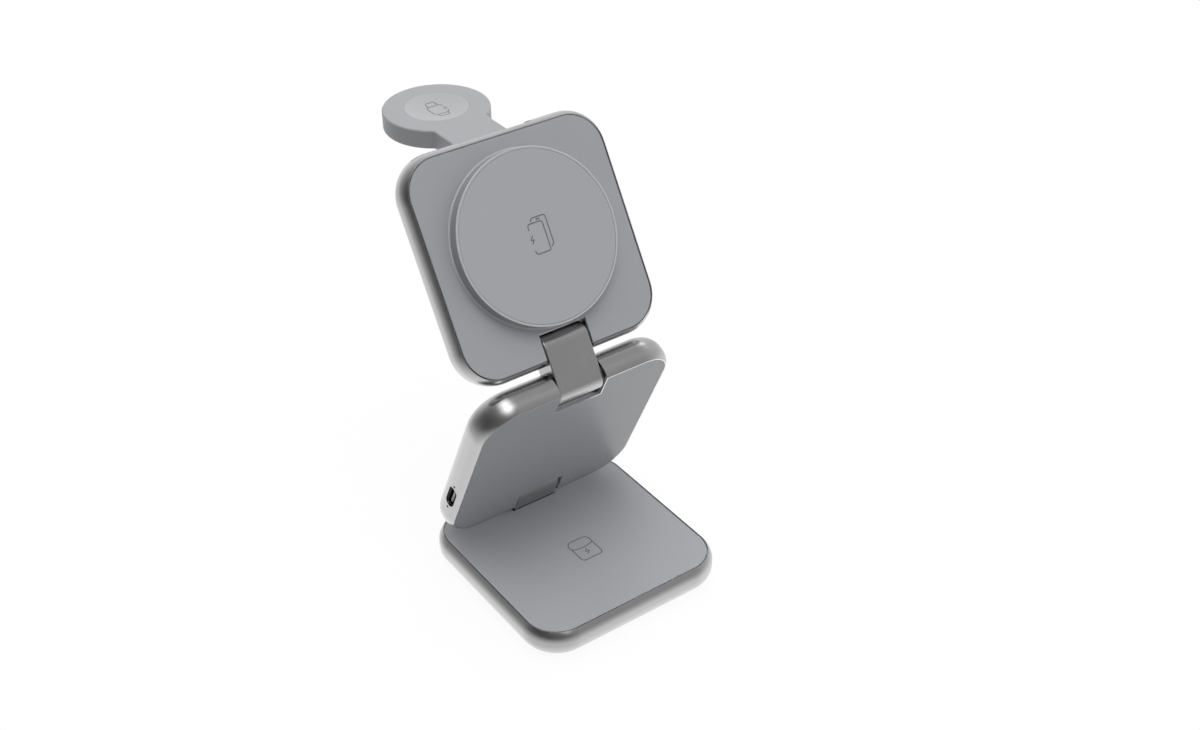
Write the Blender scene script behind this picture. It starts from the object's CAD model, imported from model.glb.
"""Looks of a folding three in one wireless charger: finishes, pictograms, small trim and studio."""

import logging
import math
from dataclasses import dataclass
from enum import Enum
from typing import Any

import bmesh
import bpy
from mathutils import Matrix, Vector


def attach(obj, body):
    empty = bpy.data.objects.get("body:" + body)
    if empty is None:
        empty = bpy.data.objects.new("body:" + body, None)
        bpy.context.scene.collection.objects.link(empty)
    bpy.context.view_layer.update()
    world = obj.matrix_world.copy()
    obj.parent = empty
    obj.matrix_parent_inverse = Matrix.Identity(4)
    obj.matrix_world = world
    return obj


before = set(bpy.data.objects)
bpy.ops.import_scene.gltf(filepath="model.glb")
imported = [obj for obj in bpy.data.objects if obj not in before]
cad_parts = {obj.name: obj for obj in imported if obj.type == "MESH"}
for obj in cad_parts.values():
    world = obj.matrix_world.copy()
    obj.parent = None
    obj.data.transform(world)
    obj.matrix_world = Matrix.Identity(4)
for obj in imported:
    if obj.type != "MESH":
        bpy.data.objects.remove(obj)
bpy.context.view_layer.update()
LOG = logging.getLogger("charger")

MM = 0.001
# The mix node repeats its socket names for numbers and colours, so its sockets go by number.
MIX_SHARE, MIX_FIRST, MIX_SECOND = 0, 2, 3
TINT_FIRST, TINT_SECOND, TINT_OUT = 6, 7, 2
Colour = tuple[float, float, float]
Socket = bpy.types.NodeSocket


def linear(red: float, green: float, blue: float) -> Colour:
    """Turn a colour as seen on a screen into the shader's linear light.

    Args:
        red: red from 0 to 255.
        green: green from 0 to 255.
        blue: blue from 0 to 255.

    Returns:
        The same colour in linear light, from 0 to 1.
    """

    def one(level: float) -> float:
        """Turn one channel."""
        share = level / 255
        return share / 12.92 if share <= 0.04045 else ((share + 0.055) / 1.055) ** 2.4

    return one(red), one(green), one(blue)


def scaled(colour: Colour, factor: float) -> Colour:
    """Make a colour lighter or darker by a factor."""
    return colour[0] * factor, colour[1] * factor, colour[2] * factor


class Station(Enum):
    """Where each pad and the arm stand: y and z of the face's middle or pin in mm, lean in degrees."""

    BASE = (0.0, 10.6, 0.0)
    MIDDLE = (7.6079, 42.1678, 114.75)
    TOP = (17.9594, 107.3568, 57.67)
    ARM = (39.4229, 127.6193, -0.75)

    def place(self) -> Matrix:
        """Work out where the station stands.

        Returns:
            The matrix from the station's own millimetres to the object's metres.
        """
        y, z, lean = self.value
        spot = Matrix.Translation((0, y * MM, z * MM))
        return spot @ Matrix.Rotation(math.radians(lean), 4, "X") @ Matrix.Scale(MM, 4)


class NodeSheet:
    """A tree of nodes with helpers that add to it."""

    def __init__(self, tree: bpy.types.NodeTree) -> None:
        """Start with an empty tree."""
        self.tree = tree
        self.tree.nodes.clear()

    def add(self, kind: str, **settings: Any) -> bpy.types.Node:
        """Add a node and set its options.

        Args:
            kind: the node's type.
            settings: its options by name.

        Returns:
            The new node.
        """
        node = self.tree.nodes.new(kind)
        for name, value in settings.items():
            setattr(node, name, value)
        return node

    def feed(self, node: bpy.types.Node, values: dict[str | int, Any]) -> None:
        """Set a node's inputs, by a link where the value is another node's output.

        Args:
            node: the node to set.
            values: a number, colour, vector or output for each input's name or number.
        """
        for name, value in values.items():
            if isinstance(value, bpy.types.NodeSocket):
                self.tree.links.new(value, node.inputs[name])
            else:
                node.inputs[name].default_value = value

    def maths(self, operation: str, first: Socket, second: Socket | float) -> Socket:
        """Work one number out from two.

        Args:
            operation: what is done with the two.
            first: the first number.
            second: the second number.

        Returns:
            The result.
        """
        node = self.add("ShaderNodeMath", operation=operation)
        self.feed(node, {0: first, 1: second})
        return node.outputs[0]

    def ramped(self, value: Socket, start: float, end: float) -> Socket:
        """Rise from 0 to 1 between two values.

        Args:
            value: what is looked at.
            start: where the rise starts.
            end: where the rise ends.

        Returns:
            A value from 0 to 1.
        """
        node = self.add("ShaderNodeMapRange")
        self.feed(node, {"Value": value, "From Min": start, "From Max": end})
        return node.outputs["Result"]


class ShaderSheet(NodeSheet):
    """A node material with one Principled shader and helpers that hang textures on it."""

    def __init__(self, name: str) -> None:
        """Start a material with an empty shader and its object coordinates.

        Args:
            name: the material's name.
        """
        self.material = bpy.data.materials.new(name)
        self.material.use_nodes = True
        super().__init__(self.material.node_tree)
        self.shader = self.add("ShaderNodeBsdfPrincipled")
        output = self.add("ShaderNodeOutputMaterial")
        self.feed(output, {"Surface": self.shader.outputs["BSDF"]})
        self.spots = self.add("ShaderNodeTexCoord").outputs["Object"]

    def dress(self, values: dict[str, Any]) -> None:
        """Set inputs of the shader itself."""
        self.feed(self.shader, values)

    def stretched(self, sizes: tuple[float, float, float]) -> Socket:
        """Give coordinates that count one for each size in mm along x, y and z.

        Args:
            sizes: the mm for one along each axis.

        Returns:
            The stretched coordinates.
        """
        node = self.add("ShaderNodeMapping")
        counts = Vector(1 / (size * MM) for size in sizes)
        self.feed(node, {"Vector": self.spots, "Scale": counts})
        return node.outputs["Vector"]

    def standing(self, station: Station, along: float = 0.0) -> Socket:
        """Give coordinates in the station's own millimetres.

        Args:
            station: whose frame to use.
            along: how far up the station's face the middle lies, in mm.

        Returns:
            The station's coordinates.
        """
        place = station.place()
        node = self.add("ShaderNodeMapping", vector_type="TEXTURE")
        values = {"Vector": self.spots, "Location": place @ Vector((0, along, 0))}
        values["Rotation"] = (math.radians(station.value[2]), 0, 0)
        values["Scale"] = (MM, MM, MM)
        self.feed(node, values)
        return node.outputs["Vector"]

    def noise(self, size: float, detail: float = 2.0, spots: Socket | None = None) -> Socket:
        """Give a soft random pattern from 0 to 1.

        Args:
            size: the size of its blots, in mm, or in counts of the coordinates given.
            detail: how much finer detail it has.
            spots: other coordinates than the object's own.

        Returns:
            The pattern's value.
        """
        node = self.add("ShaderNodeTexNoise")
        unit = MM if spots is None else 1.0
        values = {"Vector": spots or self.spots, "Scale": 1 / (size * unit), "Detail": detail}
        self.feed(node, values)
        return node.outputs[0]

    def waves(self, spots: Socket, pitch: float, rings: bool = False) -> Socket:
        """Give even waves across x, or rings round z.

        Args:
            spots: coordinates in mm.
            pitch: the mm from one wave to the next.
            rings: rings round z and not bands across x.

        Returns:
            The waves' height from 0 to 1.
        """
        node = self.add("ShaderNodeTexWave", wave_type="RINGS" if rings else "BANDS")
        node.bands_direction = "X"
        node.rings_direction = "Z"
        self.feed(node, {"Vector": spots, "Scale": math.tau / (20 * pitch), "Distortion": 0.0})
        return node.outputs["Fac"]

    def between(self, value: Socket, low: float, high: float) -> Socket:
        """Spread a pattern's middle part over a range.

        Args:
            value: a pattern from 0 to 1.
            low: what its dark blots become.
            high: what its light blots become.

        Returns:
            The spread value.
        """
        node = self.add("ShaderNodeMapRange")
        values = {"Value": value, "From Min": 0.25, "From Max": 0.75, "To Min": low, "To Max": high}
        self.feed(node, values)
        return node.outputs["Result"]

    def tints(self, value: Socket, dark: Colour, light: Colour) -> Socket:
        """Run a pattern from one colour to another.

        Args:
            value: a pattern from 0 to 1.
            dark: the colour of its dark blots.
            light: the colour of its light blots.

        Returns:
            The colour.
        """
        node = self.add("ShaderNodeValToRGB")
        node.color_ramp.elements[0].position = 0.25
        node.color_ramp.elements[0].color = (*dark, 1)
        node.color_ramp.elements[1].position = 0.75
        node.color_ramp.elements[1].color = (*light, 1)
        self.feed(node, {"Fac": value})
        return node.outputs["Color"]

    def both(self, first: Socket, second: Socket, share: float) -> Socket:
        """Add two patterns, the second by a share.

        Args:
            first: the main pattern.
            second: the pattern laid over it.
            share: the second one's part, from 0 to 1.

        Returns:
            The sum, still about 0 to 1.
        """
        node = self.add("ShaderNodeMix")
        self.feed(node, {MIX_SHARE: share, MIX_FIRST: first, MIX_SECOND: second})
        return node.outputs[0]

    def painted(self, share: Socket, under: Socket, over: Colour) -> Socket:
        """Paint a colour over another one.

        Args:
            share: how much of the upper colour shows, from 0 to 1.
            under: the colour below.
            over: the colour that is painted over it.

        Returns:
            The colour that is seen.
        """
        node = self.add("ShaderNodeMix", data_type="RGBA")
        self.feed(node, {MIX_SHARE: share, TINT_FIRST: under, TINT_SECOND: (*over, 1)})
        return node.outputs[TINT_OUT]

    def relief(self, height: Socket, depth: float, edge: float = 0.0) -> None:
        """Roughen the surface by a pattern and soften its sharp edges.

        Args:
            height: the pattern, from 0 to 1.
            depth: how deep the pattern is, in mm.
            edge: the radius that sharp edges seem to have, in mm.
        """
        bump = self.add("ShaderNodeBump")
        self.feed(bump, {"Height": height, "Distance": depth * MM, "Strength": 1.0})
        if edge:
            bevel = self.add("ShaderNodeBevel", samples=4)
            self.feed(bevel, {"Radius": edge * MM})
            self.feed(bump, {"Normal": bevel.outputs["Normal"]})
        self.dress({"Normal": bump.outputs["Normal"]})


@dataclass(frozen=True)
class SatinMetal:
    """Bead blasted metal with a soft shine.

    Attributes:
        name: the material's name.
        colour: what the metal reflects.
        roughness: how soft its shine is.
        grain: the size of the blasted grain, in mm.
        depth: the depth of the grain, in mm.
        edge: the radius of its broken edges, in mm.
    """

    name: str
    colour: Colour
    roughness: float
    grain: float = 0.22
    depth: float = 0.002
    edge: float = 0.12

    def material(self) -> bpy.types.Material:
        """Make the material.

        Returns:
            The finish as a node material.
        """
        sheet = ShaderSheet(self.name)
        fine = sheet.noise(self.grain, 3.0)
        cloudy = sheet.noise(9.0, 2.0)
        mixed = sheet.both(fine, cloudy, 0.5)
        tint = sheet.tints(mixed, scaled(self.colour, 0.97), scaled(self.colour, 1.03))
        rough = sheet.between(mixed, self.roughness - 0.03, self.roughness + 0.03)
        sheet.dress({"Base Color": tint, "Metallic": 1.0, "Roughness": rough})
        sheet.relief(fine, self.depth, self.edge)
        return sheet.material


@dataclass(frozen=True)
class MattePlastic:
    """Moulded plastic with a spark eroded grain.

    Attributes:
        name: the material's name.
        colour: its own colour.
        roughness: how dull it is.
        speckle: how far the grain darkens and lightens the colour.
        grain: the size of the grain, in mm.
        depth: the depth of the grain, in mm.
        edge: the radius of its edges, in mm.
    """

    name: str
    colour: Colour
    roughness: float
    speckle: float = 0.03
    grain: float = 0.3
    depth: float = 0.006
    edge: float = 0.0

    def material(self) -> bpy.types.Material:
        """Make the material.

        Returns:
            The finish as a node material.
        """
        sheet = ShaderSheet(self.name)
        fine = sheet.noise(self.grain, 3.0)
        cloudy = sheet.noise(14.0, 2.0)
        mixed = sheet.both(fine, cloudy, 0.35)
        low, high = 1 - self.speckle, 1 + self.speckle
        tint = sheet.tints(mixed, scaled(self.colour, low), scaled(self.colour, high))
        rough = sheet.between(mixed, self.roughness - 0.04, self.roughness + 0.04)
        sheet.dress({"Base Color": tint, "Roughness": rough})
        sheet.relief(fine, self.depth, self.edge)
        return sheet.material


@dataclass(frozen=True)
class CutRing:
    """The disc's grey ring with a lighter cut line round its crest and its foot.

    Attributes:
        name: the material's name.
        wall: the colour of the ring's wall.
        cut: the colour of the cut lines.
        roughness: how dull the wall is.
        crest: the height over the panel where the upper line starts, in mm.
        foot: the height over the panel where the lower line ends, in mm.
        fade: how far a line fades at its edge, in mm.
        grain: the size of the wall's grain, in mm.
        depth: the depth of the grain, in mm.
    """

    name: str
    wall: Colour
    cut: Colour
    roughness: float
    crest: float = 3.8
    foot: float = 0.3
    fade: float = 0.1
    grain: float = 0.22
    depth: float = 0.003

    def material(self) -> bpy.types.Material:
        """Make the material.

        Returns:
            The finish as a node material.
        """
        sheet = ShaderSheet(self.name)
        fine = sheet.noise(self.grain, 3.0)
        place = sheet.add("ShaderNodeSeparateXYZ")
        sheet.feed(place, {"Vector": sheet.standing(Station.TOP)})
        height = place.outputs["Z"]
        upper = sheet.ramped(height, self.crest, self.crest + self.fade)
        lower = sheet.ramped(height, self.foot, self.foot - self.fade)
        lines = sheet.maths("MAXIMUM", upper, lower)
        wall = sheet.tints(fine, scaled(self.wall, 0.97), scaled(self.wall, 1.03))
        tint = sheet.painted(lines, wall, self.cut)
        rough = sheet.between(fine, self.roughness - 0.04, self.roughness + 0.04)
        sheet.dress({"Base Color": tint, "Roughness": rough})
        sheet.relief(fine, self.depth)
        return sheet.material


@dataclass(frozen=True)
class BrushedMetal:
    """Metal with fine lines brushed along x.

    Attributes:
        name: the material's name.
        colour: what the metal reflects.
        roughness: how soft its shine is.
        line: the width of a brushed line, in mm.
        run: the length of a brushed line, in mm.
        depth: the depth of the lines, in mm.
        edge: the radius of its broken edges, in mm.
    """

    name: str
    colour: Colour
    roughness: float
    line: float = 0.12
    run: float = 18.0
    depth: float = 0.0015
    edge: float = 0.12

    def material(self) -> bpy.types.Material:
        """Make the material.

        Returns:
            The finish as a node material.
        """
        sheet = ShaderSheet(self.name)
        lines = sheet.noise(1.0, 3.0, sheet.stretched((self.run, self.line, self.line)))
        cloudy = sheet.noise(6.0, 2.0)
        mixed = sheet.both(lines, cloudy, 0.3)
        tint = sheet.tints(mixed, scaled(self.colour, 0.95), scaled(self.colour, 1.05))
        rough = sheet.between(lines, self.roughness - 0.05, self.roughness + 0.05)
        sheet.dress({"Base Color": tint, "Metallic": 1.0, "Roughness": rough})
        sheet.relief(lines, self.depth, self.edge)
        return sheet.material


@dataclass(frozen=True)
class RibbedRubber:
    """Soft rubber with fine moulded ribs.

    Attributes:
        name: the material's name.
        colour: its own colour.
        pitch: the mm from rib to rib.
        depth: the depth of the ribs, in mm.
    """

    name: str
    colour: Colour
    pitch: float
    depth: float

    def material(self) -> bpy.types.Material:
        """Make the material.

        Returns:
            The finish as a node material.
        """
        sheet = ShaderSheet(self.name)
        ribs = sheet.waves(sheet.standing(Station.BASE), self.pitch)
        dust = sheet.noise(0.8, 4.0)
        mixed = sheet.both(ribs, dust, 0.4)
        tint = sheet.tints(mixed, scaled(self.colour, 0.8), scaled(self.colour, 1.25))
        rough = sheet.between(dust, 0.75, 0.92)
        sheet.dress({"Base Color": tint, "Roughness": rough, "Specular IOR Level": 0.3})
        sheet.relief(mixed, self.depth)
        return sheet.material


@dataclass(frozen=True)
class WoundCopper:
    """Flat copper winding, its turns lying side by side.

    Attributes:
        name: the material's name.
        station: the pad or arm that the coil lies in.
        along: how far up the station's face the coil's middle lies, in mm.
        pitch: the mm from turn to turn.
    """

    name: str
    station: Station
    along: float
    pitch: float = 0.55

    def material(self) -> bpy.types.Material:
        """Make the material.

        Returns:
            The finish as a node material.
        """
        sheet = ShaderSheet(self.name)
        turns = sheet.waves(sheet.standing(self.station, self.along), self.pitch, rings=True)
        stain = sheet.noise(1.5, 3.0)
        mixed = sheet.both(turns, stain, 0.25)
        tint = sheet.tints(mixed, linear(92, 48, 26), linear(214, 132, 84))
        rough = sheet.between(stain, 0.28, 0.45)
        sheet.dress({"Base Color": tint, "Metallic": 1.0, "Roughness": rough})
        sheet.relief(turns, 0.12)
        return sheet.material


@dataclass(frozen=True)
class BoardMask:
    """Green solder mask over etched copper.

    Attributes:
        name: the material's name.
        mask: the mask's colour over bare board.
        trace: the mask's colour over copper.
    """

    name: str
    mask: Colour
    trace: Colour

    def material(self) -> bpy.types.Material:
        """Make the material.

        Returns:
            The finish as a node material.
        """
        sheet = ShaderSheet(self.name)
        runs = sheet.noise(1.0, 0.0, sheet.stretched((5.0, 0.9, 0.9)))
        ramp = sheet.add("ShaderNodeValToRGB")
        ramp.color_ramp.interpolation = "CONSTANT"
        ramp.color_ramp.elements[0].color = (*self.mask, 1)
        ramp.color_ramp.elements[1].position = 0.55
        ramp.color_ramp.elements[1].color = (*self.trace, 1)
        sheet.feed(ramp, {"Fac": runs})
        rough = sheet.between(sheet.noise(0.5), 0.3, 0.42)
        sheet.dress({"Base Color": ramp.outputs["Color"], "Roughness": rough})
        sheet.relief(runs, 0.02)
        return sheet.material


@dataclass(frozen=True)
class Sintered:
    """Pressed and fired powder, grey flecks on a dark ground.

    Attributes:
        name: the material's name.
        ground: the dark colour.
        fleck: the colour of the flecks.
    """

    name: str
    ground: Colour
    fleck: Colour

    def material(self) -> bpy.types.Material:
        """Make the material.

        Returns:
            The finish as a node material.
        """
        sheet = ShaderSheet(self.name)
        grit = sheet.noise(0.35, 5.0)
        tint = sheet.tints(grit, self.ground, self.fleck)
        rough = sheet.between(grit, 0.5, 0.75)
        sheet.dress({"Base Color": tint, "Roughness": rough})
        sheet.relief(grit, 0.015)
        return sheet.material


class Finish(Enum):
    """Every finish on the charger."""

    HOUSING = SatinMetal("housing_satin_metal", linear(197, 197, 198), 0.23, edge=0.06)
    DISC_RIM = CutRing("disc_rim_cut_grey", linear(154, 156, 160), linear(188, 189, 192), 0.2)
    PANEL = MattePlastic("panel_soft_grey", linear(166, 168, 172), 0.36, edge=0.08)
    DISC_FACE = MattePlastic("disc_face_soft_grey", linear(172, 174, 178), 0.4, edge=0.05)
    ARM = MattePlastic("arm_satin_grey", linear(168, 169, 172), 0.42, grain=0.22, edge=0.15)
    DISH = MattePlastic(
        "dish_pale_grey", linear(178, 180, 182), 0.36, speckle=0.015, grain=0.2, depth=0.002
    )
    LINK = SatinMetal("link_satin_metal", linear(196, 196, 196), 0.25, grain=0.16, depth=0.0012)
    LIP = SatinMetal("lip_polished_metal", linear(232, 232, 233), 0.14, depth=0.0004, edge=0.0)
    STEEL = BrushedMetal("ground_steel", linear(176, 176, 178), 0.3, line=0.06, run=6.0)
    INLET = SatinMetal("inlet_nickel_shell", linear(70, 70, 73), 0.4, grain=0.1)
    TONGUE = MattePlastic("inlet_tongue_grey", linear(200, 201, 203), 0.5, grain=0.1, depth=0.002)
    CONTACT = BrushedMetal("contact_gold", linear(222, 178, 96), 0.22, line=0.03, run=1.0, depth=0.0004)
    CARRIER = MattePlastic("carrier_black", linear(44, 45, 47), 0.5, grain=0.25)
    FOOT = RibbedRubber("foot_rubber", linear(58, 59, 61), 1.4, 0.12)
    BUD_COIL = WoundCopper("bud_coil_copper", Station.BASE, 0.0)
    PHONE_COIL = WoundCopper("phone_coil_copper", Station.TOP, 2.15)
    WATCH_COIL = WoundCopper("watch_coil_copper", Station.ARM, 29.7, 0.4)
    BOARD = BoardMask("board_green_mask", linear(16, 74, 48), linear(34, 108, 70))
    FERRITE = Sintered("ferrite_black", linear(34, 34, 36), linear(66, 66, 70))
    MAGNET = SatinMetal("magnet_nickel", linear(190, 188, 184), 0.3, grain=0.4)
    INK = MattePlastic("pictogram_ink", linear(102, 103, 107), 0.5, grain=0.15, depth=0.002)
    DISH_INK = MattePlastic("dish_pictogram_ink", linear(122, 123, 126), 0.5, grain=0.15, depth=0.002)


class FinishRack:
    """Keeps each finish's material, made when it is first asked for."""

    def __init__(self) -> None:
        """Start with no materials made."""
        self.made: dict[Finish, bpy.types.Material] = {}

    def get(self, finish: Finish) -> bpy.types.Material:
        """Give a finish's material, made once.

        Args:
            finish: the finish that is asked for.

        Returns:
            Its material.
        """
        if finish not in self.made:
            self.made[finish] = finish.value.material()
        return self.made[finish]

    def dress(self, finish: Finish, *nodes: str) -> None:
        """Dress some of the frame's own pieces.

        Args:
            finish: what they are finished in.
            nodes: the pieces' names.
        """
        for node in nodes:
            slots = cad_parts[node].data.materials
            slots.clear()
            slots.append(self.get(finish))
            LOG.info("%s in %s", node, finish.value.name)


class MeshPiece:
    """A new piece, built up in a station's own millimetres."""

    def __init__(self, name: str, station: Station) -> None:
        """Start an empty piece.

        Args:
            name: the piece's name.
            station: whose millimetres it is drawn in.
        """
        self.name = name
        self.station = station
        self.work = bmesh.new()

    def ring_of(self, points: list[tuple[float, float, float]]) -> list[bmesh.types.BMVert]:
        """Add corner points and give them back."""
        return [self.work.verts.new(point) for point in points]

    def skin(self, rings: list[list[bmesh.types.BMVert]], closed: bool) -> None:
        """Join rings of corners into a solid bar.

        Args:
            rings: rings of equal count, in order along the bar.
            closed: the bar's end meets its start.
        """
        pairs = list(zip(rings, rings[1:]))
        if closed:
            pairs.append((rings[-1], rings[0]))
        for first, second in pairs:
            count = len(first)
            for i in range(count):
                j = (i + 1) % count
                self.work.faces.new((first[i], first[j], second[j], second[i]))
        if not closed:
            self.work.faces.new(list(reversed(rings[0])))
            self.work.faces.new(rings[-1])

    def finish(self, body: str, slot: str, material: bpy.types.Material) -> bpy.types.Object:
        """Turn the drawing into an object that rides on a body.

        Args:
            body: the body that carries it.
            slot: the record's material slot.
            material: its finish.

        Returns:
            The finished piece.
        """
        self.work.transform(self.station.place())
        bmesh.ops.recalc_face_normals(self.work, faces=self.work.faces)
        mesh = bpy.data.meshes.new(self.name)
        self.work.to_mesh(mesh)
        self.work.free()
        mesh.materials.append(material)
        piece = bpy.data.objects.new(self.name, mesh)
        bpy.context.scene.collection.objects.link(piece)
        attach(piece, body)
        LOG.info("%s built with %d faces", self.name, len(mesh.polygons))
        return piece


@dataclass(frozen=True)
class Stroke:
    """One printed line: corners in mm with the radius that each is turned by.

    Attributes:
        corners: x, y and radius of each corner.
        closed: the line's end meets its start.
        width: the line's width, in mm.
    """

    corners: tuple[tuple[float, float, float], ...]
    closed: bool = False
    width: float = 0.36

    def path(self) -> list[Vector]:
        """Follow the line and turn its corners.

        Returns:
            The points along the line.
        """
        count = len(self.corners)
        points: list[Vector] = []
        for i, (x, y, radius) in enumerate(self.corners):
            here = Vector((x, y))
            if radius == 0 or (not self.closed and i in (0, count - 1)):
                points.append(here)
                continue
            before = Vector(self.corners[i - 1][:2])
            after = Vector(self.corners[(i + 1) % count][:2])
            points.extend(self.turn(before, here, after, radius))
        return points

    @staticmethod
    def turn(before: Vector, here: Vector, after: Vector, radius: float) -> list[Vector]:
        """Turn one corner by an arc.

        Args:
            before: the corner before.
            here: the corner itself.
            after: the corner after.
            radius: the arc's radius, in mm.

        Returns:
            The arc's points.
        """
        back, ahead = (before - here).normalized(), (after - here).normalized()
        half = back.angle(ahead) / 2
        reach = radius / math.tan(half)
        middle = here + (back + ahead).normalized() * (radius / math.sin(half))
        first, last = here + back * reach - middle, here + ahead * reach - middle
        steps = 8 + round(2 * radius)
        return [middle + first.slerp(last, step / steps) * radius for step in range(steps + 1)]


@dataclass(frozen=True)
class FaceLines:
    """Thin lines laid on a face: a printed pictogram or a polished lip.

    Attributes:
        name: the piece's name.
        station: the pad or arm that carries the face.
        middle: the lines' origin on the face, in mm.
        face: the face's height at the origin, in mm.
        strokes: the lines.
        bowl: the radius of a hollow face, in mm, or 0 for a flat one.
        proud: how far the lines stand proud, in mm.
        sunk: how far they reach into the face, in mm.
    """

    name: str
    station: Station
    middle: tuple[float, float]
    face: float
    strokes: tuple[Stroke, ...]
    bowl: float = 0.0
    proud: float = 0.012
    sunk: float = 0.02

    def height(self, spot: Vector) -> float:
        """Give the face's height at a spot.

        Args:
            spot: the spot, in mm from the lines' origin.

        Returns:
            The height, in mm.
        """
        if self.bowl == 0:
            return self.face
        return self.face + self.bowl - math.sqrt(self.bowl**2 - spot.length_squared)

    def build(self, body: str, slot: str, material: bpy.types.Material) -> bpy.types.Object:
        """Lay all the lines as one piece.

        Args:
            body: the body that carries it.
            slot: the record's material slot.
            material: its finish.

        Returns:
            The finished piece.
        """
        piece = MeshPiece(self.name, self.station)
        for stroke in self.strokes:
            self.lay(piece, stroke)
        return piece.finish(body, slot, material)

    def lay(self, piece: MeshPiece, stroke: Stroke) -> None:
        """Lay one line as a flat bar.

        Args:
            piece: the piece that it is laid on.
            stroke: the line.
        """
        points = stroke.path()
        count = len(points)
        rings = []
        for i, point in enumerate(points):
            before = points[i - 1] if i or stroke.closed else point
            after = points[(i + 1) % count] if i + 1 < count or stroke.closed else point
            side = self.mitre(before, point, after) * (stroke.width / 2)
            rings.append(piece.ring_of(self.section(point, side)))
        piece.skin(rings, stroke.closed)

    def section(self, point: Vector, side: Vector) -> list[tuple[float, float, float]]:
        """Give the bar's four corners at a point.

        Args:
            point: the point on the line.
            side: the way to the line's left edge.

        Returns:
            The corners, in the station's mm.
        """
        left, right = point + side, point - side
        x, y = self.middle
        top, low = self.proud, -self.sunk
        spots = ((left, low), (right, low), (right, top), (left, top))
        return [(x + spot.x, y + spot.y, self.height(spot) + lift) for spot, lift in spots]

    @staticmethod
    def mitre(before: Vector, point: Vector, after: Vector) -> Vector:
        """Give the way to the left edge where two runs of a line meet.

        Args:
            before: the point before.
            point: the point itself.
            after: the point after.

        Returns:
            The way, one long on a straight run.
        """
        runs = [run.normalized() for run in (point - before, after - point) if run.length > 1e-9]
        sides = [Vector((-run.y, run.x)) for run in runs]
        way = sum(sides, Vector((0, 0))).normalized()
        return way / max(way.dot(sides[0]), 0.5)


@dataclass(frozen=True)
class BasePad:
    """The base with its earbuds bay, weight and rubber foot.

    Attributes:
        bay_width: the width of the earbuds case drawn on the bay, in mm.
        lid_lap: how far the case's lid laps over its sides, in mm.
    """

    bay_width: float = 7.7
    lid_lap: float = 0.1

    def pictogram(self) -> FaceLines:
        """Draw an earbuds case with a bowed lid and a charging bolt.

        Returns:
            The drawing.
        """
        half = self.bay_width / 2
        side = half - self.lid_lap
        lid = ((-half, -0.7, 1.9), (half, -0.7, 1.9), (half, -4.1, 0.9))
        lid += ((0.0, -5.0, 9.0), (-half, -4.1, 0.9))
        case = ((-side, -3.9, 0), (-side, -10.0, 1.2), (side, -10.0, 1.2), (side, -3.9, 0))
        bolt = ((0.55, -5.6, 0), (-0.55, -6.75, 0), (0.55, -6.95, 0), (-0.55, -8.1, 0))
        strokes = (Stroke(lid, closed=True), Stroke(case), Stroke(bolt, width=0.34))
        return FaceLines("earbuds_pictogram", Station.BASE, (0, 0), 0.0, strokes)

    def build(self, rack: FinishRack) -> None:
        """Dress the base and print its pictogram.

        Args:
            rack: the finishes.
        """
        rack.dress(Finish.HOUSING, "base_shell")
        rack.dress(Finish.PANEL, "base_panel")
        rack.dress(Finish.FOOT, "base_foot")
        rack.dress(Finish.STEEL, "base_weight", "base_hinge_pin", "base_hinge_washers")
        rack.dress(Finish.BOARD, "base_board")
        rack.dress(Finish.BUD_COIL, "base_coil")
        rack.dress(Finish.FERRITE, "base_ferrite")
        self.pictogram().build("base", "panel", rack.get(Finish.INK))


@dataclass(frozen=True)
class HingeLink:
    """A double pin link between two pads.

    Attributes:
        body: the link's body, which also starts its pieces' names.
    """

    body: str

    def build(self, rack: FinishRack) -> None:
        """Dress the link and its cover."""
        rack.dress(Finish.LINK, f"{self.body}_body", f"{self.body}_cover")


@dataclass(frozen=True)
class InletContacts:
    """The gold strips on both sides of the inlet's tongue.

    Attributes:
        start: where the strips start, in mm from the middle plane.
        length: the strips' length, in mm.
        pitch: the mm from strip to strip.
        width: a strip's width, in mm.
        count: strips on each side.
        along: the tongue's place up the pad, in mm.
        depth: the tongue's middle behind the pad's face, in mm.
        tongue: the tongue's thickness, in mm.
        proud: how far the strips stand proud, in mm.
    """

    start: float = -32.4
    length: float = 3.4
    pitch: float = 0.5
    width: float = 0.28
    count: int = 12
    along: float = -11.4
    depth: float = 3.5
    tongue: float = 0.7
    proud: float = 0.03

    def build(self, rack: FinishRack) -> None:
        """Lay the strips, each with a nose that slopes into the tongue.

        Args:
            rack: the finishes.
        """
        piece = MeshPiece("inlet_contacts", Station.MIDDLE)
        for side in (-1, 1):
            for i in range(self.count):
                self.strip(piece, side, self.along + (i - (self.count - 1) / 2) * self.pitch)
        piece.finish("middle", "copper", rack.get(Finish.CONTACT))

    def strip(self, piece: MeshPiece, side: int, along: float) -> None:
        """Lay one strip.

        Args:
            piece: the piece that it is laid on.
            side: 1 for the tongue's front side, -1 for its back.
            along: the strip's place up the pad, in mm.
        """
        base = -self.depth + side * (self.tongue / 2 - 0.01)
        top = -self.depth + side * (self.tongue / 2 + self.proud)
        half = self.width / 2
        rings = []
        for x, high in ((0.0, 0.2), (0.25, 1.0), (self.length, 1.0)):
            level = base + (top - base) * high
            low, up = along - half, along + half
            corners = [(low, base), (up, base), (up - 0.03, level), (low + 0.03, level)]
            rings.append(piece.ring_of([(self.start + x, y, z) for y, z in corners]))
        piece.skin(rings, closed=False)


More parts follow.
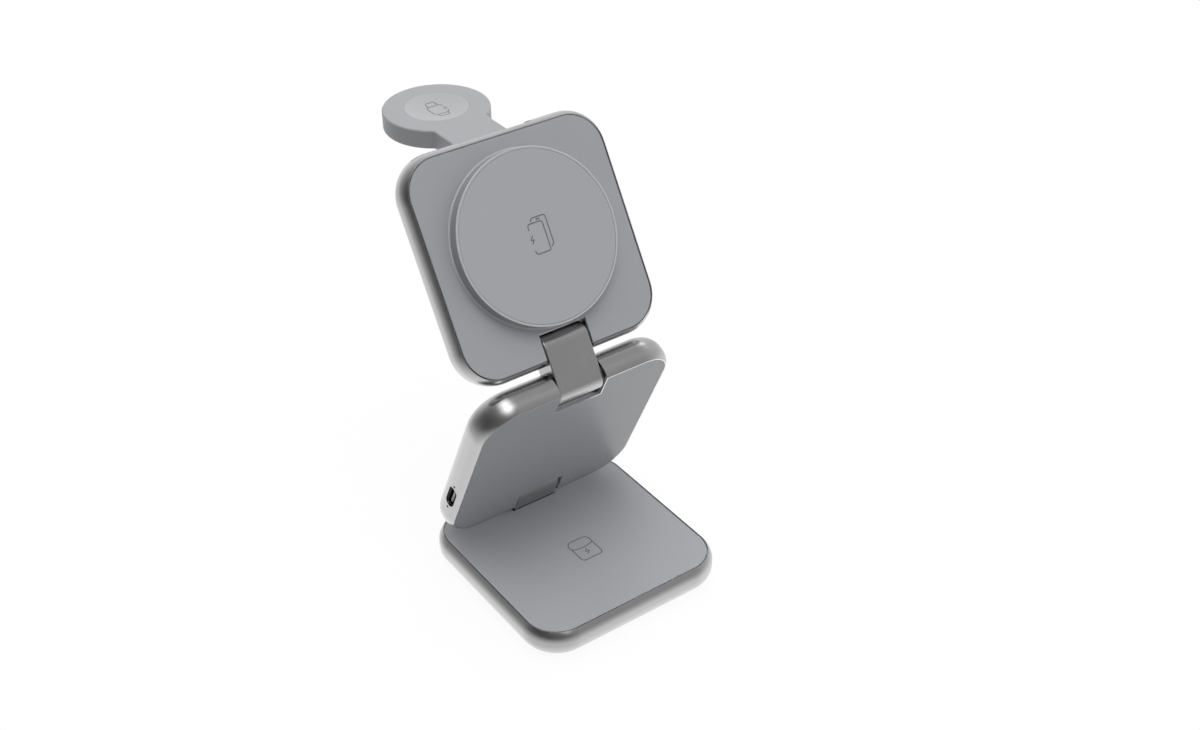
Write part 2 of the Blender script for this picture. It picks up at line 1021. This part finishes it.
@dataclass(frozen=True)
class InletPips:
    """The dark plugs in the two small holes beside the inlet.

    Attributes:
        seat: where the plugs' faces lie, in mm from the middle plane.
        spread: from the inlet's middle to each plug, in mm.
        along: the inlet's place up the pad, in mm.
        depth: the inlet's middle behind the pad's face, in mm.
        radius: a plug's radius, in mm.
        length: a plug's length, in mm.
        sides: how many sides a plug's round has.
    """

    seat: float = -33.3
    spread: float = 5.9
    along: float = -11.4
    depth: float = 3.5
    radius: float = 0.43
    length: float = 0.28
    sides: int = 24

    def build(self, rack: FinishRack) -> None:
        """Set both plugs, each dished at its face.

        Args:
            rack: the finishes.
        """
        piece = MeshPiece("inlet_pips", Station.MIDDLE)
        for side in (-1, 1):
            self.plug(piece, self.along + side * self.spread)
        piece.finish("middle", "carrier", rack.get(Finish.CARRIER))

    def plug(self, piece: MeshPiece, along: float) -> None:
        """Set one plug.

        Args:
            piece: the piece that it is set in.
            along: the plug's place up the pad, in mm.
        """
        rings = []
        for x, share in ((0.12, 0.35), (0.05, 0.7), (0.0, 0.9), (0.04, 1.0), (self.length, 1.0)):
            turns = [math.tau * i / self.sides for i in range(self.sides)]
            reach = self.radius * share
            spots = [(reach * math.cos(turn), reach * math.sin(turn)) for turn in turns]
            rings.append(piece.ring_of([(self.seat + x, along + y, z - self.depth) for y, z in spots]))
        piece.skin(rings, closed=False)


@dataclass(frozen=True)
class MiddlePad:
    """The middle pad with the main board and the power inlet.

    Attributes:
        contacts: the strips on the inlet's tongue.
        pips: the plugs beside the inlet.
        lip_side: the side of the polished lip round the panel, in mm.
        lip_corner: the radius of the lip's corners, in mm.
        lip_width: the lip's width, in mm.
        notch_half: from the pad's middle to the lip beside a notch, in mm.
        notch_inner: from the pad's middle to the lip behind a notch, in mm.
    """

    contacts: InletContacts = InletContacts()
    pips: InletPips = InletPips()
    lip_side: float = 64.36
    lip_corner: float = 10.48
    lip_width: float = 0.34
    notch_half: float = 8.19
    notch_inner: float = 24.04

    def lip(self) -> FaceLines:
        """Draw the polished lip that runs round the panel and its two notches.

        Returns:
            The lip.
        """
        half, turn = self.lip_side / 2, self.lip_corner
        side, inner = self.notch_half, self.notch_inner
        right = ((side, inner, 0), (side, half, 0), (half, half, turn))
        right += ((half, -half, turn), (side, -half, 0), (side, -inner, 0))
        left = tuple((-x, y, radius) for x, y, radius in reversed(right))
        strokes = (Stroke(right + left, closed=True, width=self.lip_width),)
        return FaceLines("middle_lip", Station.MIDDLE, (0, 0), 0.0, strokes, sunk=0.1)

    def build(self, rack: FinishRack) -> None:
        """Dress the pad, lay the inlet's contacts, set the plugs beside it and lay the panel's lip.

        Args:
            rack: the finishes.
        """
        rack.dress(Finish.HOUSING, "middle_shell")
        rack.dress(Finish.PANEL, "middle_panel")
        rack.dress(Finish.INLET, "usb_receptacle")
        rack.dress(Finish.TONGUE, "usb_tongue")
        rack.dress(Finish.BOARD, "main_board")
        rack.dress(Finish.MAGNET, "shield_can")
        rack.dress(Finish.STEEL, "main_board_screws", "middle_hinge_washers")
        rack.dress(Finish.STEEL, "middle_lower_hinge_pin", "middle_upper_hinge_pin")
        self.contacts.build(rack)
        self.pips.build(rack)
        self.lip().build("middle", "shell_metal", rack.get(Finish.LIP))


@dataclass(frozen=True)
class TopPad:
    """The top pad with the phone's charging disc.

    Attributes:
        disc_rise: how high the disc stands over the panel, in mm.
        disc_raise: how far the disc sits over the pad's middle, in mm.
    """

    disc_rise: float = 3.95
    disc_raise: float = 2.15

    def pictogram(self) -> FaceLines:
        """Draw a phone on a second phone, with a charging bolt.

        Returns:
            The drawing.
        """
        front = ((-2.5, 2.2, 0), (-2.5, 4.0, 0.8), (2.4, 4.0, 0.8), (2.4, -4.75, 0.7))
        front += ((-2.5, -4.75, 0.8), (-2.5, -3.5, 0))
        rear = ((-1.05, 4.45, 0), (-1.05, 5.4, 0.75), (3.85, 5.4, 0.8))
        rear += ((3.85, -3.1, 0.3), (2.95, -3.9, 0))
        bolt = ((-1.95, 0.75, 0), (-2.75, -0.4, 0), (-1.9, -0.55, 0), (-2.7, -1.65, 0))
        speaker = ((0.65, 4.72, 0), (1.95, 4.72, 0))
        strokes = (Stroke(front), Stroke(rear), Stroke(bolt), Stroke(speaker, width=0.42))
        middle = (0, self.disc_raise)
        return FaceLines("phone_pictogram", Station.TOP, middle, self.disc_rise, strokes)

    def build(self, rack: FinishRack) -> None:
        """Dress the pad and print its pictogram.

        Args:
            rack: the finishes.
        """
        rack.dress(Finish.HOUSING, "top_shell")
        rack.dress(Finish.PANEL, "top_panel")
        rack.dress(Finish.DISC_RIM, "disc_ring")
        rack.dress(Finish.DISC_FACE, "disc_face")
        rack.dress(Finish.CARRIER, "coil_carrier")
        rack.dress(Finish.MAGNET, "magnet_ring")
        rack.dress(Finish.FERRITE, "phone_ferrite")
        rack.dress(Finish.PHONE_COIL, "phone_coil")
        rack.dress(Finish.BOARD, "top_board")
        rack.dress(Finish.STEEL, "top_hinge_pin", "top_hinge_washers", "arm_hinge_pin")
        self.pictogram().build("top", "disc_face", rack.get(Finish.INK))


@dataclass(frozen=True)
class WatchArm:
    """The folding arm with the watch's charging dish.

    Attributes:
        reach: from the arm's pin to the dish's middle, in mm.
        face: the arm's face over its pin, in mm.
        dish_sag: how deep the dish is, in mm.
        dish_reach: the dish's radius where it starts to sink, in mm.
    """

    reach: float = 29.7
    face: float = 2.8
    dish_sag: float = 1.0
    dish_reach: float = 9.3

    def pictogram(self) -> FaceLines:
        """Draw a watch with its two straps and a charging bolt.

        Returns:
            The drawing.
        """
        case = ((2.7, 1.2, 0), (2.7, 2.5, 1.1), (-2.2, 2.5, 1.1), (-2.2, -3.25, 1.1))
        case += ((2.7, -3.25, 1.1), (2.7, -1.95, 0))
        upper = ((-1.45, 2.5, 0), (-1.2, 4.8, 0.7), (1.7, 4.8, 0.7), (1.95, 2.5, 0))
        lower = ((-1.45, -3.25, 0), (-1.2, -5.0, 0.7), (1.7, -5.0, 0.7), (1.95, -3.25, 0))
        bolt = ((3.0, 0.4, 0), (2.35, -0.4, 0), (3.1, -0.5, 0), (2.45, -1.35, 0))
        strokes = (Stroke(case), Stroke(upper), Stroke(lower), Stroke(bolt, width=0.3))
        radius = (self.dish_reach**2 + self.dish_sag**2) / (2 * self.dish_sag)
        bottom = self.face - self.dish_sag
        return FaceLines("watch_pictogram", Station.ARM, (0, self.reach), bottom, strokes, bowl=radius)

    def build(self, rack: FinishRack) -> None:
        """Dress the arm and print its pictogram.

        Args:
            rack: the finishes.
        """
        rack.dress(Finish.ARM, "arm_body", "arm_cover")
        rack.dress(Finish.DISH, "watch_dish")
        rack.dress(Finish.WATCH_COIL, "watch_coil")
        rack.dress(Finish.MAGNET, "watch_magnet")
        self.pictogram().build("watch_arm", "dish", rack.get(Finish.DISH_INK))


@dataclass(frozen=True)
class Glow:
    """One soft light in the room, or a dark card where its level is below 0.

    Attributes:
        way: the way to its middle.
        spread: how far it reaches along x, y and z.
        level: the brightness of its middle.
        core: the share of the reach where it starts to fade.
        edge: the share of the reach where it is gone.
    """

    way: tuple[float, float, float]
    spread: tuple[float, float, float]
    level: float
    core: float = 0.2
    edge: float = 1.5

    def shade(self, sheet: NodeSheet, ways: Socket) -> Socket:
        """Hang the light in the room.

        Args:
            sheet: the room's nodes.
            ways: the way that is looked.

        Returns:
            The light's brightness.
        """
        place = sheet.add("ShaderNodeMapping", vector_type="TEXTURE")
        sheet.feed(place, {"Vector": ways, "Location": self.way, "Scale": self.spread})
        far = sheet.add("ShaderNodeVectorMath", operation="LENGTH")
        sheet.feed(far, {0: place.outputs["Vector"]})
        fade = sheet.add("ShaderNodeMapRange", interpolation_type="SMOOTHSTEP")
        values = {"Value": far.outputs["Value"], "From Min": self.edge, "From Max": self.core}
        values["To Max"] = self.level
        sheet.feed(fade, values)
        return fade.outputs["Result"]


class Fixture(Enum):
    """Every light and dark card in the room."""

    OVERHEAD = Glow(way=(-0.03, -0.19, 1.0), spread=(0.28, 0.5, 1.2), level=3.7)
    LONG_LAMP = Glow(way=(-0.04, -0.27, 0.97), spread=(0.27, 0.55, 1.2), level=2.0)
    SMALL_LAMP = Glow(way=(0.7, 0.31, 0.643), spread=(0.17, 0.17, 0.17), level=1.2)
    BACK_WALL = Glow(way=(0.25, 0.93, 0.26), spread=(0.6, 0.6, 0.6), level=0.32)
    RIGHT_CARD = Glow(way=(0.49, 0.09, 0.866), spread=(0.33, 0.33, 0.33), level=-0.13)
    LEFT_CARD = Glow(way=(-0.79, 0.21, 0.57), spread=(0.55, 0.55, 0.55), level=-0.1)
    RIGHT_GROUND = Glow(way=(0.79, -0.21, -0.57), spread=(0.6, 0.6, 0.6), level=0.2)
    BACK_GROUND = Glow(way=(-0.05, 0.77, -0.64), spread=(0.6, 0.6, 0.6), level=0.22)


@dataclass(frozen=True)
class RoomLight:
    """How bright the room is for one kind of ray.

    Attributes:
        wall: the walls' brightness.
        lean: how much lighter the walls get to the right and to the back.
        ground: the ground's brightness straight below.
        fixtures: the soft lights and dark cards in the room.
    """

    wall: float
    lean: tuple[float, float]
    ground: float
    fixtures: tuple[Fixture, ...]

    def shade(self, sheet: NodeSheet, ways: Socket) -> Socket:
        """Give the room's whole brightness.

        Args:
            sheet: the room's nodes.
            ways: the way that is looked.

        Returns:
            The brightness of walls, ground and lights.
        """
        shade = self.walls(sheet, ways)
        for fixture in self.fixtures:
            shade = sheet.maths("ADD", shade, fixture.value.shade(sheet, ways))
        return shade

    def walls(self, sheet: NodeSheet, ways: Socket) -> Socket:
        """Shade the walls, lighter to the right and back, and the white ground below them.

        Args:
            sheet: the room's nodes.
            ways: the way that is looked.

        Returns:
            The walls' brightness.
        """
        across = sheet.add("ShaderNodeVectorMath", operation="DOT_PRODUCT")
        sheet.feed(across, {0: ways, 1: (*self.lean, 0.0)})
        wall = sheet.maths("ADD", across.outputs["Value"], self.wall)
        split = sheet.add("ShaderNodeSeparateXYZ")
        sheet.feed(split, {"Vector": ways})
        down = sheet.ramped(split.outputs["Z"], 0.0, -1.0)
        mixed = sheet.add("ShaderNodeMix")
        sheet.feed(mixed, {MIX_SHARE: down, MIX_FIRST: wall, MIX_SECOND: self.ground})
        return mixed.outputs[0]


@dataclass(frozen=True)
class Studio:
    """A white floor, a soft room with a long light overhead, and the camera.

    Attributes:
        turn: the camera's turn round the charger, in degrees.
        rise: the camera's height above the horizon, in degrees.
        distance: from the camera to the point that it looks at, in metres.
        aside: that point's place beside the base's middle, in metres.
        above: that point's place above the base's face, in metres.
        lens: the camera's lens, in mm.
        sensor: the width of the camera's sensor, in mm.
        floor_radius: the floor's radius, in metres.
        floor_drop: how far the floor lies below the charger's foot, in metres.
        floor_glow: how much of its white the floor gives off by itself.
        floor_shade: how much of its white the floor takes from the light, and loses in shadow.
        soft: the room as it lights the surfaces.
        shine: the room as it shows in reflections.
    """

    turn: float = -35.831
    rise: float = 34.973
    distance: float = 0.508903
    aside: float = 0.007857
    above: float = 0.053709
    lens: float = 49.402
    sensor: float = 36.0
    floor_radius: float = 3.0
    floor_drop: float = 0.0001
    floor_glow: float = 0.93
    floor_shade: float = 0.07
    soft: RoomLight = RoomLight(
        wall=0.64,
        lean=(0.38, 0.21),
        ground=0.5,
        fixtures=(Fixture.OVERHEAD,),
    )
    shine: RoomLight = RoomLight(
        wall=0.385,
        lean=(0.24, 0.15),
        ground=1.03,
        fixtures=(
            Fixture.LONG_LAMP,
            Fixture.SMALL_LAMP,
            Fixture.BACK_WALL,
            Fixture.RIGHT_CARD,
            Fixture.LEFT_CARD,
            Fixture.RIGHT_GROUND,
            Fixture.BACK_GROUND,
        ),
    )

    def camera(self) -> None:
        """Set up the camera."""
        turn, rise = math.radians(self.turn), math.radians(self.rise)
        level = math.cos(rise)
        back = Vector((math.sin(turn) * level, -math.cos(turn) * level, math.sin(rise)))
        right = Vector((math.cos(turn), math.sin(turn), 0))
        up = back.cross(right)
        spot = Vector((0, 0, Station.BASE.value[1] * MM))
        spot += right * self.aside + up * self.above + back * self.distance
        data = bpy.data.cameras.new("camera")
        data.sensor_fit = "HORIZONTAL"
        data.sensor_width = self.sensor
        data.lens = self.lens
        data.clip_start = 0.01
        camera = bpy.data.objects.new("camera", data)
        turned = Matrix((right, up, back)).transposed().to_4x4()
        camera.matrix_world = Matrix.Translation(spot) @ turned
        bpy.context.scene.collection.objects.link(camera)
        bpy.context.scene.camera = camera

    def floor(self) -> None:
        """Lay a pale floor that keeps a faint shadow."""
        work = bmesh.new()
        bmesh.ops.create_circle(work, cap_ends=True, radius=self.floor_radius, segments=96)
        mesh = bpy.data.meshes.new("floor")
        work.to_mesh(mesh)
        work.free()
        sheet = ShaderSheet("floor_white")
        tone = (self.floor_shade, self.floor_shade, self.floor_shade)
        soft = sheet.tints(sheet.noise(60.0), scaled(tone, 0.97), scaled(tone, 1.03))
        sheet.dress({"Base Color": soft, "Roughness": 0.9, "Specular IOR Level": 0.0})
        sheet.dress({"Emission Color": (1, 1, 1, 1), "Emission Strength": self.floor_glow})
        mesh.materials.append(sheet.material)
        floor = bpy.data.objects.new("floor", mesh)
        floor.location.z = -self.floor_drop
        bpy.context.scene.collection.objects.link(floor)
        floor.visible_glossy = False
        floor.visible_diffuse = False

    def room(self) -> None:
        """Make the room: white to the camera, and a soft studio for light and reflections."""
        world = bpy.data.worlds.new("studio_room")
        bpy.context.scene.world = world
        world.use_nodes = True
        world.cycles.sampling_method = "NONE"
        sheet = NodeSheet(world.node_tree)
        ways = sheet.add("ShaderNodeTexCoord").outputs["Generated"]
        rays = sheet.add("ShaderNodeLightPath").outputs
        soft = self.backdrop(sheet, self.soft.shade(sheet, ways))
        shine = self.backdrop(sheet, self.shine.shade(sheet, ways))
        white = self.backdrop(sheet, (1, 1, 1, 1))
        lit = self.chosen(sheet, rays["Is Glossy Ray"], soft, shine)
        clear = sheet.maths("MAXIMUM", rays["Is Camera Ray"], rays["Is Transmission Ray"])
        output = sheet.add("ShaderNodeOutputWorld")
        sheet.feed(output, {"Surface": self.chosen(sheet, clear, lit, white)})

    @staticmethod
    def backdrop(sheet: NodeSheet, shade: Socket | tuple[float, ...]) -> Socket:
        """Make one backdrop.

        Args:
            sheet: the room's nodes.
            shade: its brightness or colour.

        Returns:
            The backdrop's light.
        """
        node = sheet.add("ShaderNodeBackground")
        sheet.feed(node, {"Color": shade, "Strength": 1.0})
        return node.outputs[0]

    @staticmethod
    def chosen(sheet: NodeSheet, test: Socket, no: Socket, yes: Socket) -> Socket:
        """Choose between two backdrops by a test.

        Args:
            sheet: the room's nodes.
            test: 1 for the second backdrop.
            no: the backdrop where the test is 0.
            yes: the backdrop where the test is 1.

        Returns:
            The chosen backdrop's light.
        """
        node = sheet.add("ShaderNodeMixShader")
        sheet.feed(node, {"Fac": test, 1: no, 2: yes})
        return node.outputs[0]

    def build(self) -> None:
        """Set the studio up."""
        bpy.context.scene.view_settings.view_transform = "Standard"
        self.floor()
        self.room()
        self.camera()


def main() -> None:
    """Build and dress every sub-assembly, then set the studio up."""
    logging.basicConfig(level=logging.INFO, format="%(name)s: %(message)s")
    rack = FinishRack()
    lower, upper = HingeLink("lower_link"), HingeLink("upper_link")
    for part in (BasePad(), lower, MiddlePad(), upper, TopPad(), WatchArm()):
        part.build(rack)
    Studio().build()


if __name__ == "__main__":
    main()
